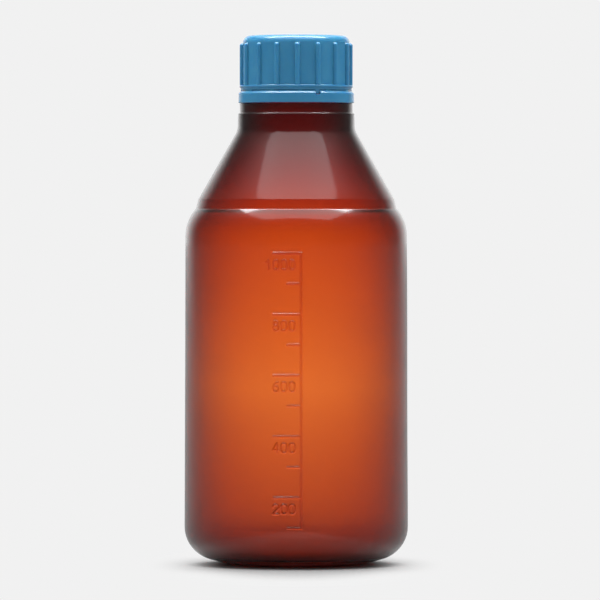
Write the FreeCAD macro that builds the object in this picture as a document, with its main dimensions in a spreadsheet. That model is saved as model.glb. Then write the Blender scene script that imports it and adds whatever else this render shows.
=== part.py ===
"""One litre reagent bottle of moulded plastic with a tamper-evident screw cap.

Millimetres. +Z is up, the bottle stands on z = 0 with its axis on the Z axis, and the raised
scale faces -Y. The bottle is blow moulded, the cap and its ring are injection moulded, and a
two-layer liner under the cap's roof seals the neck.
"""
import FreeCAD, Part
import math
import os

import Sketcher

# Driving dimensions: name, value, meaning. Radii and heights are of the finished piece.
DIMENSIONS = [
    ("wall", 1.5, "wall thickness of the blown body at the shoulder and above the base"),
    ("base_wall", 2.4, "wall of the base and its corner"),
    ("base_wall_top", 21, "height above which the base's thicker wall has ended"),
    ("thin_wall", 1.3, "wall at half height, where it is blown out most"),
    ("thin_height", 80, "height of the thinnest wall"),
    ("base_ring_inner", 18, "inner radius of the flat ring that the bottle stands on"),
    ("base_ring_outer", 23, "outer radius of that ring"),
    ("base_sweep_radius", 52, "arc that rises from the ring under the base"),
    ("base_corner_radius", 15, "arc that turns the base into the wall"),
    ("scale_skin_bottom", 18, "lower end of the skin from which the scale is cut"),
    ("punt_height", 2.5, "rise of the hollow in the base"),
    ("body_radius", 50.2, "body just above the base corner"),
    ("body_top_radius", 49.65, "body where the shoulder starts"),
    ("body_top_height", 147.5, "height where the shoulder starts"),
    ("shoulder_radius", 18.6, "arc of the shoulder"),
    ("ledge_radius", 44.9, "crease above the shoulder"),
    ("ledge_height", 159.9, "height of that crease"),
    ("cone_foot_radius", 43.9, "foot of the cone"),
    ("cone_foot_height", 164.3, "height of the cone's foot"),
    ("cone_slope", 0.568, "growth of the cone's radius per unit of fall"),
    ("collar_fillet", 8, "hollow blend between cone and collar"),
    ("collar_radius", 26.2, "collar below the neck flange"),
    ("collar_top", 203.0, "height of the collar's top edge"),
    ("collar_edge", 0.7, "round of the collar's top edge"),
    ("flange_radius", 25.4, "neck flange that the tamper ring sits above"),
    ("flange_top", 207.4, "height of the flange's top"),
    ("flange_edge", 0.4, "round of the flange's top edge"),
    ("throat_radius", 23.2, "neck between flange and bead"),
    ("bead_radius", 24.2, "bead that holds the tamper ring down"),
    ("bead_bottom", 209.3, "underside of the bead"),
    ("bead_land", 1.4, "height of the bead's outer face"),
    ("bead_ramp", 2.7, "height of the ramp above the bead"),
    ("neck_radius", 21.0, "neck wall at the root of the thread"),
    ("neck_bore", 19.3, "bore of the neck"),
    ("neck_inner_bottom", 214.0, "height where the bore starts to open"),
    ("neck_inner_fall", 4.0, "height over which it opens"),
    ("neck_inner_radius", 21.8, "inside of the neck below the thread"),
    ("cone_foot_wall", 1.95, "wall at the cone's foot, measured level"),
    ("collar_wall", 3.6, "wall of the collar, thicker because it is blown out less"),
    ("rim_height", 233.3, "top of the rim"),
    ("rim_edge", 0.5, "round of the rim"),
    ("pitch", 4.0, "pitch of the screw thread"),
    ("neck_thread_start", 217.6, "height of the neck thread's first section"),
    ("neck_thread_length", 11.5, "rise of the neck thread"),
    ("neck_thread_crest", 22.3, "crest radius of the neck thread"),
    ("neck_thread_foot", 2.3, "axial width of the neck thread at its foot"),
    ("neck_thread_land", 1.0, "axial width of the neck thread at its crest"),
    ("thread_sink", 0.3, "depth that a thread reaches into its wall"),
    ("scale_relief", 0.35, "height of the raised scale above the wall"),
    ("scale_sink", 0.6, "depth of the scale's root in the wall"),
    ("scale_top", 140.4, "height of the 1000 ml line"),
    ("scale_step", 13.55, "height of 100 ml"),
    ("scale_count", 10, "number of graduation lines"),
    ("spine_place", 2.2, "centre of the vertical line, right of the front"),
    ("spine_width", 1.1, "width of the vertical line"),
    ("line_width", 0.9, "height of a graduation line"),
    ("long_line", 12.1, "length of a numbered line, left of the vertical line"),
    ("short_line", 5.9, "length of an intermediate line"),
    ("figure_height", 4.9, "height of a figure"),
    ("figure_width", 3.06, "width of a figure"),
    ("figure_pitch", 3.6, "step from one figure to the next"),
    ("figure_stroke", 0.7, "stroke of the figures"),
    ("figure_right", -0.3, "right-hand edge of every number"),
    ("figure_drop", 2.2, "gap between a line and the number under it"),
    ("index_angle", -67.6, "direction of the tongue and of the thread starts, from +X"),
    ("cap_top", 237.9, "top of the cap"),
    ("cap_roof", 1.7, "thickness of the cap's roof"),
    ("cap_crown_edge", 3.3, "round between the cap's wall and its top"),
    ("cap_wall_outer", 24.0, "cap wall between the ribs"),
    ("cap_wall_inner", 22.75, "inside of the cap wall"),
    ("cap_inner_round", 0.3, "round inside the roof's corner"),
    ("lip_radius", 25.5, "lip round the foot of the cap"),
    ("lip_top", 215.5, "top of the lip"),
    ("lip_edge", 0.25, "round of the lip's top edge"),
    ("lip_face", 0.7, "height of the lip's outer face with its edge"),
    ("lip_bottom", 213.4, "underside of the lip"),
    ("lip_foot_radius", 24.95, "lip at its underside"),
    ("lip_taper", 0.6, "height of the lip's inward slope"),
    ("cap_skirt_outer", 24.3, "outside of the cap wall where it runs on inside the ring"),
    ("cap_skirt_bottom", 212.2, "lower end of the cap wall inside the ring"),
    ("cap_thread_length", 10.5, "rise of the cap thread"),
    ("cap_thread_crest", 21.4, "crest radius of the cap thread"),
    ("cap_thread_foot", 2.0, "axial width of the cap thread at its foot"),
    ("cap_thread_land", 0.9, "axial width of the cap thread at its crest"),
    ("thread_offset", 1.55, "cap thread below the neck thread when the cap is tight"),
    ("rib_count", 16, "grip ribs round the cap"),
    ("rib_radius", 1.2, "half-round section of a rib"),
    ("rib_centre", 24.2, "distance of a rib's own axis from the cap's axis"),
    ("rib_top", 234.5, "height of a rib's domed top"),
    ("rib_turn", 1.4, "first rib, counted from the tongue"),
    ("tongue_inner", 24.45, "inside of the tongue"),
    ("tongue_angle", 4.8, "angle that the tongue spans"),
    ("tongue_bottom", 211.4, "lower end of the tongue"),
    ("ring_outer", 26.0, "tamper ring outside"),
    ("ring_inner", 24.5, "tamper ring inside"),
    ("ring_top", 212.9, "top of the tamper ring"),
    ("ring_bottom", 207.6, "underside of the tamper ring"),
    ("ring_slope", 1.0, "slope of the ring's top edge"),
    ("ring_edge", 0.3, "round of the ring's lower edge"),
    ("ring_hook_radius", 23.6, "inward hook under the bead"),
    ("ring_hook_land", 0.8, "height of the hook's inner face"),
    ("ring_hook_slope", 0.5, "height of the slope above the hook"),
    ("notch_width", 2.7, "width of the ring's notch"),
    ("notch_bottom", 211.1, "bottom of the notch"),
    ("notch_round", 0.6, "round of the notch's bottom corners"),
    ("bridge_count", 12, "webs between the ring and the cap"),
    ("bridge_angle", 3.6, "angle that a web spans"),
    ("bridge_turn", 11.6, "first web, counted from the notch"),
    ("bridge_gap", 0.03, "gap above the webs"),
    ("liner_radius", 22.2, "radius of the liner"),
    ("liner_clearance", 0.05, "gap above and below the liner"),
    ("facing_thickness", 0.3, "thickness of the liner's sealing face"),
]

# Smaller than this a length counts as zero.
TINY = 1e-9

doc = FreeCAD.newDocument("reagent_bottle")
sheet = doc.addObject("Spreadsheet::Sheet", "dims")


def fill_sheet():
    """Write every driving dimension into its own cell, under its own name."""
    for row, (alias, size, meaning) in enumerate(DIMENSIONS, start=1):
        sheet.set(f"A{row}", meaning)
        sheet.set(f"B{row}", str(size))
        sheet.setAlias(f"B{row}", alias)
    doc.recompute()


def value(expression):
    """Number that an expression on the sheet has now."""
    result = sheet.evalExpression(expression)
    return float(getattr(result, "Value", result))


def new_body(name):
    """PartDesign body whose label is its name."""
    body = doc.addObject("PartDesign::Body", name)
    body.Label = name
    return body


def origin_feature(body, role):
    """Plane or axis of the body's own origin."""
    return next(item for item in body.Origin.OriginFeatures if item.Role == role)


def new_sketch(body, name, role="XZ_Plane", turn=None):
    """Sketch on one of the body's origin planes, turned about Z by an expression in degrees."""
    sketch = body.newObject("Sketcher::SketchObject", name)
    sketch.AttachmentSupport = [(origin_feature(body, role), "")]
    sketch.MapMode = "FlatFace"
    if turn:
        upright = FreeCAD.Vector(0, 1, 0)
        first = FreeCAD.Rotation(upright, value(turn))
        sketch.AttachmentOffset = FreeCAD.Placement(FreeCAD.Vector(), first)
        sketch.setExpression("AttachmentOffset.Rotation.Angle", turn)
    return sketch


def arc_between(start, end, radius):
    """Arc from start to end. A positive radius turns left on the way, a negative one right."""
    chord = end - start
    left = FreeCAD.Vector(-chord.y, chord.x, 0).normalize()
    rise = math.sqrt(max(radius ** 2 - (chord.Length / 2) ** 2, 0))
    centre = (start + end) / 2 + left * math.copysign(rise, radius)
    first, last = (start, end) if radius > 0 else (end, start)
    angles = [math.atan2(point.y - centre.y, point.x - centre.x) for point in (first, last)]
    if angles[1] < angles[0]:
        angles[1] += 2 * math.pi
    circle = Part.Circle(centre, FreeCAD.Vector(0, 0, 1), abs(radius))
    return Part.ArcOfCircle(circle, *angles)


def bind(sketch, expression, *constraint):
    """Add a dimension to the sketch and tie it to the sheet."""
    index = sketch.addConstraint(Sketcher.Constraint(*constraint, value(expression)))
    sketch.setExpression(f"Constraints[{index}]", expression)


def draw_outline(sketch, corners):
    """Closed outline through corners written as expressions.

    A corner (x, y) ends a straight edge, and a corner (x, y, radius) ends an arc, which turns
    left, or right where the radius is written with a minus sign.
    """
    points = [FreeCAD.Vector(value(corner[0]), value(corner[1]), 0) for corner in corners]
    edges = []
    for index, corner in enumerate(corners):
        start = points[index - 1]
        end = points[index]
        if len(corner) == 2:
            edges.append((sketch.addGeometry(Part.LineSegment(start, end)), 1, 2))
            continue
        radius = value(corner[2])
        ends = (1, 2) if radius > 0 else (2, 1)
        edges.append((sketch.addGeometry(arc_between(start, end, radius)), *ends))
    for index, (edge, _, end) in enumerate(edges):
        following, start, _ = edges[(index + 1) % len(edges)]
        sketch.addConstraint(Sketcher.Constraint("Coincident", edge, end, following, start))
        for kind, axis, expression in (("DistanceX", -2, corners[index][0]),
                                       ("DistanceY", -1, corners[index][1])):
            if abs(value(expression)) < TINY:
                sketch.addConstraint(Sketcher.Constraint("PointOnObject", edge, end, axis))
            else:
                bind(sketch, expression, kind, -1, 1, edge, end)
        if len(corners[index]) == 3:
            bind(sketch, corners[index][2].lstrip("-"), "Radius", edge)


def feature_on(body, kind, name, sketch):
    """Feature of the body made from a sketch."""
    feature = body.newObject(kind, name)
    feature.Profile = (sketch, [""])
    return feature


def revolve(body, name, sketch, kind="PartDesign::Revolution", angle="360"):
    """Turn an outline about Z; a part turn is centred on the sketch."""
    feature = feature_on(body, kind, name, sketch)
    feature.ReferenceAxis = (sketch, ["V_Axis"])
    feature.Midplane = angle != "360"
    feature.setExpression("Angle", angle)
    return feature


def screw(body, name, sketch, rise):
    """Right-hand thread that carries a section up round Z."""
    feature = feature_on(body, "PartDesign::AdditiveHelix", name, sketch)
    feature.ReferenceAxis = (sketch, ["V_Axis"])
    feature.Mode = "pitch-height-angle"
    feature.setExpression("Pitch", "dims.pitch")
    feature.setExpression("Height", rise)
    return feature


def repeat_round(body, name, feature, count):
    """Repeat a feature evenly round Z."""
    pattern = body.newObject("PartDesign::PolarPattern", name)
    pattern.Originals = [feature]
    pattern.Axis = (origin_feature(body, "Z_Axis"), [""])
    pattern.Angle = 360
    pattern.setExpression("Occurrences", count)
    body.Tip = pattern
    return pattern


def turn_to_index(body):
    """Turn a whole piece about Z so that its own +X points at the tongue."""
    upright = FreeCAD.Vector(0, 0, 1)
    body.Placement = FreeCAD.Placement(FreeCAD.Vector(), FreeCAD.Rotation(upright, -1))
    body.setExpression("Placement.Rotation.Angle", "-dims.index_angle")
    body.Placement.Rotation.Axis = FreeCAD.Vector(0, 0, -1)


def tooth(centre, root, crest, foot, land):
    """Corners of a thread section; root and crest are radii, foot and land are axial widths."""
    return [
        (root, f"{centre} - {foot} / 2"),
        (crest, f"{centre} - {land} / 2"),
        (crest, f"{centre} + {land} / 2"),
        (root, f"{centre} + {foot} / 2"),
    ]


def base_outline(inset):
    """Corners of the base from the body wall to the axis, moved inwards by the wall thickness.

    Two arcs that touch each other carry the wall into the flat ring under the bottle.
    """
    side = "(dims.body_radius - dims.base_corner_radius)"
    sweep = "(dims.base_sweep_radius - dims.base_corner_radius)"
    meet = f"acos(({side} - dims.base_ring_outer) / {sweep})"
    centre = f"(dims.base_sweep_radius - {sweep} * sin({meet}))"
    corner = f"(dims.base_corner_radius - {inset})"
    punt = "((dims.base_ring_inner ^ 2 + dims.punt_height ^ 2) / (2 * dims.punt_height))"
    return [
        (f"dims.body_radius - {inset}", centre),
        (f"{side} + {corner} * cos({meet})", f"{centre} - {corner} * sin({meet})", f"-{corner}"),
        ("dims.base_ring_outer", inset, f"-(dims.base_sweep_radius - {inset})"),
        ("dims.base_ring_inner", inset),
        ("0", f"dims.punt_height + {inset}", f"{punt}"),
    ]


# Height where the line of the cone would meet the line of the collar.
COLLAR_RISE = "(dims.cone_foot_radius - dims.collar_radius) / dims.cone_slope"
COLLAR_BEND = f"(dims.cone_foot_height + {COLLAR_RISE})"

# How far a cut runs past the solid that it opens, in millimetres.
OVERCUT = 1


def cone_radius(height):
    """Radius of the cone's outside at a height."""
    return f"dims.cone_foot_radius - dims.cone_slope * ({height} - dims.cone_foot_height)"


def bottle_outline():
    """Outside of the bottle, from the axis at the rim down to the axis at the base."""
    half_turn = "atan(dims.cone_slope) / 2"
    reach = f"(dims.collar_fillet * tan({half_turn}))"
    blend_end = f"{COLLAR_BEND} - {reach} * cos(2 * {half_turn})"
    return [
        ("0", "dims.rim_height"),
        ("dims.neck_radius - dims.rim_edge", "dims.rim_height"),
        ("dims.neck_radius", "dims.rim_height - dims.rim_edge", "-dims.rim_edge"),
        ("dims.neck_radius", "dims.bead_bottom + dims.bead_land + dims.bead_ramp"),
        ("dims.bead_radius", "dims.bead_bottom + dims.bead_land"),
        ("dims.bead_radius", "dims.bead_bottom"),
        ("dims.throat_radius", "dims.bead_bottom"),
        ("dims.throat_radius", "dims.flange_top"),
        ("dims.flange_radius - dims.flange_edge", "dims.flange_top"),
        ("dims.flange_radius", "dims.flange_top - dims.flange_edge", "-dims.flange_edge"),
        ("dims.flange_radius", "dims.collar_top"),
        ("dims.collar_radius - dims.collar_edge", "dims.collar_top"),
        ("dims.collar_radius", "dims.collar_top - dims.collar_edge", "-dims.collar_edge"),
        ("dims.collar_radius", f"{COLLAR_BEND} + {reach}"),
        (cone_radius(blend_end), blend_end, "dims.collar_fillet"),
        ("dims.cone_foot_radius", "dims.cone_foot_height"),
        ("dims.ledge_radius", "dims.ledge_height"),
        ("dims.body_top_radius", "dims.body_top_height", "-dims.shoulder_radius"),
    ] + base_outline("0")


def cavity_outline():
    """Inside of the bottle, from the axis above the rim down to the axis above the base."""
    wall = "dims.wall"
    return [
        ("0", f"dims.rim_height + {OVERCUT}"),
        ("dims.neck_bore", f"dims.rim_height + {OVERCUT}"),
        ("dims.neck_bore", "dims.neck_inner_bottom"),
        ("dims.neck_inner_radius", "dims.neck_inner_bottom - dims.neck_inner_fall"),
        ("dims.collar_radius - dims.collar_wall", COLLAR_BEND),
        ("dims.cone_foot_radius - dims.cone_foot_wall", "dims.cone_foot_height"),
        (f"dims.ledge_radius - {wall}", "dims.ledge_height"),
        (f"dims.body_top_radius - {wall}", "dims.body_top_height", f"-(dims.shoulder_radius - {wall})"),
        ("dims.body_radius - dims.thin_wall", "dims.thin_height"),
        (f"dims.body_radius - {wall}", "dims.base_wall_top"),
    ] + base_outline("dims.base_wall")


def build_shell():
    """Bottle without its scale: blown solid, cavity and neck thread."""
    body = new_body("bottle_shell")
    outside = new_sketch(body, "bottle_outside")
    draw_outline(outside, bottle_outline())
    revolve(body, "bottle_solid", outside)
    inside = new_sketch(body, "bottle_inside")
    draw_outline(inside, cavity_outline())
    revolve(body, "bottle_cavity", inside, "PartDesign::Groove")
    section = new_sketch(body, "neck_thread_section", turn="dims.index_angle")
    draw_outline(section, tooth("dims.neck_thread_start", "dims.neck_radius - dims.thread_sink",
                                "dims.neck_thread_crest", "dims.neck_thread_foot",
                                "dims.neck_thread_land"))
    screw(body, "neck_thread", section, "dims.neck_thread_length")
    return body


def figure_strokes(figure, width, height):
    """Pen strokes of a figure in a box of the given width and height.

    A stroke is a line from one point to another, or an arc: centre, radius, first and last angle.
    """
    bowl = width / 2
    low = (bowl, bowl)
    high = (bowl, height - bowl)
    small_bowl = (height - width) / 2
    back = 1.32 * width
    back_tip_angle = 105
    tail_angle = -35
    tail = (bowl + bowl * math.cos(math.radians(tail_angle)),
            height - bowl + bowl * math.sin(math.radians(tail_angle)))
    stem = 0.72 * width
    bar = 0.3 * height
    post = 0.62 * width
    strokes = {
        "0": [(low, bowl, 180, 360), (high, bowl, 0, 180),
              ((0, bowl), (0, height - bowl)), ((width, bowl), (width, height - bowl))],
        "1": [((0.25 * width, 0.78 * height), (post, height)), ((post, height), (post, 0))],
        "2": [(high, bowl, tail_angle, 180), (tail, (0, 0)), ((0, 0), (width, 0))],
        "4": [((stem, 0), (stem, height)), ((stem, height), (0, bar)), ((0, bar), (width, bar))],
        "6": [(low, bowl, 0, 360), ((back, bowl), back, back_tip_angle, 180)],
        "8": [(low, bowl, 0, 360), ((bowl, height - small_bowl), small_bowl, 0, 360)],
    }
    return strokes[figure]


def mark_line(start, end, pen, depth):
    """Bar with round ends along a straight stroke."""
    along = end - start
    bar = Part.makeBox(along.Length, pen, depth, FreeCAD.Vector(0, -pen / 2, 0))
    bar.rotate(FreeCAD.Vector(), FreeCAD.Vector(0, 0, 1), math.degrees(math.atan2(along.y, along.x)))
    bar.translate(start)
    return [bar] + [Part.makeCylinder(pen / 2, depth, tip) for tip in (start, end)]


def mark_arc(centre, radius, first, last, pen, depth):
    """Curved bar with round ends along an arc."""
    upright = FreeCAD.Vector(0, 0, 1)
    bar = Part.makeCylinder(radius + pen / 2, depth, FreeCAD.Vector(), upright, last - first)
    bar = bar.cut(Part.makeCylinder(radius - pen / 2, depth))
    bar.rotate(FreeCAD.Vector(), upright, first)
    bar.translate(centre)
    tips = []
    for angle in (first, last):
        reach = FreeCAD.Vector(math.cos(math.radians(angle)), math.sin(math.radians(angle)), 0)
        tips.append(Part.makeCylinder(pen / 2, depth, centre + reach * radius))
    return [bar] + tips


def number_shape(text, top, near, depth):
    """Number of upright bars behind the front of the bottle, its top at the given height."""
    pen = value("dims.figure_stroke")
    width = value("dims.figure_width") - pen
    height = value("dims.figure_height") - pen
    marks = []
    for place, figure in enumerate(reversed(text)):
        right = value("dims.figure_right") - place * value("dims.figure_pitch")
        corner = FreeCAD.Vector(right - pen / 2 - width, top - pen / 2 - height, near)
        for shape in figure_strokes(figure, width, height):
            if len(shape) == 2:
                ends = [corner + FreeCAD.Vector(*point, 0) for point in shape]
                marks += mark_line(*ends, pen, depth)
            else:
                centre = corner + FreeCAD.Vector(*shape[0], 0)
                marks += mark_arc(centre, *shape[1:], pen, depth)
    number = marks[0].multiFuse(marks[1:])
    number.rotate(FreeCAD.Vector(), FreeCAD.Vector(1, 0, 0), 90)
    return number


# The scale's marks are cut from upright blocks that straddle the front wall. These are fractions
# of the body's radius: how far out and how far in the blocks reach.
BLOCK_FRONT = 1.04
BLOCK_BACK = 0.92


def scale_block(name, left, width, bottom, height):
    """Upright block behind the front of the bottle, from which the scale's skin is cut."""
    block = doc.addObject("Part::Box", name)
    block.setExpression("Length", width)
    block.setExpression("Width", f"dims.body_radius * ({BLOCK_FRONT} - {BLOCK_BACK})")
    block.setExpression("Height", height)
    block.setExpression("Placement.Base.x", left)
    block.setExpression("Placement.Base.y", f"-dims.body_radius * {BLOCK_FRONT}")
    block.setExpression("Placement.Base.z", bottom)
    return block


def build_scale():
    """Raised scale: a vertical line, graduation lines and numbers, all following the wall."""
    spine_left = "(dims.spine_place - dims.spine_width / 2)"
    lowest = "(dims.scale_top - (dims.scale_count - 1) * dims.scale_step)"
    blocks = [scale_block("scale_spine", spine_left, "dims.spine_width",
                          f"{lowest} - dims.line_width / 2",
                          f"dims.scale_top - {lowest} + dims.line_width")]
    near = value("dims.body_radius") * BLOCK_BACK
    depth = value("dims.body_radius") * BLOCK_FRONT - near
    numbers = []
    count = round(value("dims.scale_count"))
    for step in range(count):
        length = "dims.short_line" if step % 2 else "dims.long_line"
        height = f"(dims.scale_top - {step} * dims.scale_step)"
        blocks.append(scale_block(f"scale_line_{step}", f"{spine_left} - {length}",
                                  f"{length} + dims.spine_width / 2",
                                  f"{height} - dims.line_width / 2", "dims.line_width"))
        if step % 2 == 0:
            top = value(f"{height} - dims.line_width / 2 - dims.figure_drop")
            numbers.append(number_shape(str(100 * (count - step)), top, near, depth))
    figures = doc.addObject("Part::Feature", "scale_figures")
    figures.Shape = numbers[0].multiFuse(numbers[1:])
    marks = doc.addObject("Part::MultiFuse", "scale_marks")
    marks.Shapes = blocks + [figures]
    skin = new_body("scale_skin")
    section = new_sketch(skin, "scale_skin_section")
    sides = [("dims.body_radius", "dims.scale_skin_bottom"),
             ("dims.body_top_radius", "dims.body_top_height")]
    inner = [(f"{radius} - dims.scale_sink", height) for radius, height in sides]
    outer = [(f"{radius} + dims.scale_relief", height) for radius, height in reversed(sides)]
    draw_outline(section, inner + outer)
    revolve(skin, "scale_skin_ring", section)
    relief = doc.addObject("Part::Common", "scale_relief")
    relief.Base = skin
    relief.Tool = marks
    return relief


def build_bottle():
    """Bottle with its raised scale in one piece."""
    bottle = doc.addObject("Part::MultiFuse", "bottle")
    bottle.Label = "bottle"
    bottle.Shapes = [build_shell(), build_scale()]
    return bottle


def cap_outline():
    """Half section of the cap: top, wall and lip outside, then wall and roof inside."""
    roof = "dims.cap_top - dims.cap_roof"
    return [
        ("0", "dims.cap_top"),
        ("dims.cap_wall_outer - dims.cap_crown_edge", "dims.cap_top"),
        ("dims.cap_wall_outer", "dims.cap_top - dims.cap_crown_edge", "-dims.cap_crown_edge"),
        ("dims.cap_wall_outer", "dims.lip_top"),
        ("dims.lip_radius - dims.lip_edge", "dims.lip_top"),
        ("dims.lip_radius", "dims.lip_top - dims.lip_edge", "-dims.lip_edge"),
        ("dims.lip_radius", "dims.lip_top - dims.lip_face"),
        ("dims.lip_foot_radius", "dims.lip_top - dims.lip_face - dims.lip_taper"),
        ("dims.lip_foot_radius", "dims.lip_bottom"),
        ("dims.cap_skirt_outer", "dims.lip_bottom"),
        ("dims.cap_skirt_outer", "dims.cap_skirt_bottom"),
        ("dims.cap_wall_inner", "dims.cap_skirt_bottom"),
        ("dims.cap_wall_inner", f"{roof} - dims.cap_inner_round"),
        ("dims.cap_wall_inner - dims.cap_inner_round", roof, "dims.cap_inner_round"),
        ("0", roof),
    ]


def build_cap():
    """Screw cap: ribbed shell, inner thread and the tongue that turns the tamper ring."""
    body = new_body("cap_shell")
    section = new_sketch(body, "cap_section")
    draw_outline(section, cap_outline())
    revolve(body, "cap_wall", section)
    rib_section = new_sketch(body, "rib_section", turn="dims.rib_turn")
    dome = "dims.rib_top - dims.rib_radius"
    side = "dims.rib_centre + dims.rib_radius"
    draw_outline(rib_section, [("dims.rib_centre", "dims.lip_top - dims.lip_edge"),
                               (side, "dims.lip_top - dims.lip_edge"),
                               (side, dome),
                               ("dims.rib_centre", "dims.rib_top", "dims.rib_radius")])
    rib = feature_on(body, "PartDesign::Revolution", "rib", rib_section)
    first_guess = Part.LineSegment(FreeCAD.Vector(1, 0, 0), FreeCAD.Vector(1, 1, 0))
    axis = rib_section.addGeometry(first_guess, True)
    rib_section.addConstraint(Sketcher.Constraint("Vertical", axis))
    bind(rib_section, "dims.rib_centre", "DistanceX", -1, 1, axis, 1)
    bind(rib_section, "dims.rib_top", "DistanceY", -1, 1, axis, 1)
    bind(rib_section, "dims.cap_top", "DistanceY", -1, 1, axis, 2)
    rib.ReferenceAxis = (rib_section, ["Axis0"])
    repeat_round(body, "ribs", rib, "dims.rib_count")
    tongue_section = new_sketch(body, "tongue_section")
    draw_outline(tongue_section, [("dims.tongue_inner", "dims.tongue_bottom"),
                                  ("dims.lip_foot_radius", "dims.tongue_bottom"),
                                  ("dims.lip_foot_radius", "dims.lip_bottom + dims.lip_edge"),
                                  ("dims.tongue_inner", "dims.lip_bottom + dims.lip_edge")])
    revolve(body, "tongue", tongue_section, angle="dims.tongue_angle")
    thread_section = new_sketch(body, "cap_thread_section")
    draw_outline(thread_section, tooth("(dims.neck_thread_start - dims.thread_offset)",
                                       "dims.cap_wall_inner + dims.thread_sink",
                                       "dims.cap_thread_crest", "dims.cap_thread_foot",
                                       "dims.cap_thread_land"))
    screw(body, "cap_thread", thread_section, "dims.cap_thread_length")
    turn_to_index(body)
    return body


def build_ring():
    """Tamper-evident ring with a hook under the neck's bead and a notch for the cap's tongue."""
    body = new_body("tamper_ring")
    section = new_sketch(body, "ring_section")
    hook = "dims.ring_bottom + dims.ring_hook_land"
    draw_outline(section, [("dims.ring_outer - dims.ring_slope", "dims.ring_top"),
                           ("dims.ring_outer", "dims.ring_top - dims.ring_slope"),
                           ("dims.ring_outer", "dims.ring_bottom + dims.ring_edge"),
                           ("dims.ring_outer - dims.ring_edge", "dims.ring_bottom", "-dims.ring_edge"),
                           ("dims.ring_hook_radius", "dims.ring_bottom"),
                           ("dims.ring_hook_radius", hook),
                           ("dims.ring_inner", f"{hook} + dims.ring_hook_slope"),
                           ("dims.ring_inner", "dims.ring_top")])
    ring = revolve(body, "ring_wall", section)
    doc.recompute()
    whole = ring.Shape.Volume
    outline = new_sketch(body, "notch_outline", "YZ_Plane")
    side = "dims.notch_width / 2"
    corner = f"{side} - dims.notch_round"
    draw_outline(outline, [(f"-({side})", f"dims.ring_top + {OVERCUT}"),
                           (f"-({side})", "dims.notch_bottom + dims.notch_round"),
                           (f"-({corner})", "dims.notch_bottom", "dims.notch_round"),
                           (corner, "dims.notch_bottom"),
                           (side, "dims.notch_bottom + dims.notch_round", "dims.notch_round"),
                           (side, f"dims.ring_top + {OVERCUT}")])
    notch = feature_on(body, "PartDesign::Pocket", "notch", outline)
    notch.Reversed = True
    notch.setExpression("Length", f"dims.ring_outer + {OVERCUT}")
    doc.recompute()
    removed = whole - notch.Shape.Volume
    thickness = "(dims.ring_outer - dims.ring_inner)"
    expected = value(f"dims.notch_width * (dims.ring_top - dims.notch_bottom) * {thickness}")
    if not 0 < removed < 2 * expected:
        raise RuntimeError(f"the notch removed {removed:.2f} mm3 from the ring")
    turn_to_index(body)
    return body


def build_bridges():
    """Thin webs that hold the ring to the cap until the first opening."""
    body = new_body("tamper_bridges")
    body.AllowCompound = True
    section = new_sketch(body, "bridge_section", turn="dims.bridge_turn")
    top = "dims.lip_bottom - dims.bridge_gap"
    draw_outline(section, [("dims.ring_inner", "dims.ring_top"),
                           ("dims.lip_foot_radius", "dims.ring_top"),
                           ("dims.lip_foot_radius", top),
                           ("dims.ring_inner", top)])
    bridge = revolve(body, "bridge", section, angle="dims.bridge_angle")
    repeat_round(body, "bridges", bridge, "dims.bridge_count")
    turn_to_index(body)
    return body


def build_liner():
    """Liner under the cap's roof: a soft core and the thin face that meets the rim.

    It is wider than the crest of the cap's thread, which keeps it from falling out.
    """
    facing = doc.addObject("Part::Cylinder", "liner_facing")
    core = doc.addObject("Part::Cylinder", "liner_core")
    facing_bottom = "dims.rim_height + dims.liner_clearance"
    core_bottom = f"{facing_bottom} + dims.facing_thickness"
    core_top = "(dims.cap_top - dims.cap_roof - dims.liner_clearance)"
    for disc, bottom, height in ((facing, facing_bottom, "dims.facing_thickness"),
                                 (core, core_bottom, f"{core_top} - ({core_bottom})")):
        disc.Label = disc.Name
        disc.setExpression("Radius", "dims.liner_radius")
        disc.setExpression("Height", height)
        disc.setExpression("Placement.Base.z", bottom)
    return [core, facing]


def check_document():
    """Stop if any object failed to build."""
    for item in doc.Objects:
        failed = {"Invalid", "Error"} & set(item.State)
        if failed:
            raise RuntimeError(f"{item.Label} is {failed}")


def write_pieces(pieces):
    """Write each piece to its own file, once every shape is sound."""
    for piece in pieces:
        if piece.Shape.isNull() or not piece.Shape.isValid():
            raise RuntimeError(f"{piece.Label} has no valid shape")
    os.makedirs("parts", exist_ok=True)
    for piece in pieces:
        piece.Shape.exportStep(f"parts/{piece.Label}.step")
        solids = len(piece.Shape.Solids)
        print(f"{piece.Label}: {solids} solid(s), {piece.Shape.Volume / 1000:.2f} cm3")


fill_sheet()
all_pieces = [build_bottle(), build_cap(), build_ring(), build_bridges()] + build_liner()
doc.recompute()
check_document()
write_pieces(all_pieces)
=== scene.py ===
"""Looks of a one litre amber plastic reagent bottle with a blue tamper-evident screw cap.

The bottle, the cap and the tamper ring are fine lathe meshes: each is a half outline turned about
Z, with relief such as the scale, the threads and the ribs added along the surface. Sizes in the
outlines are millimetres, and every mesh is made in metres.
"""

import math

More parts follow.
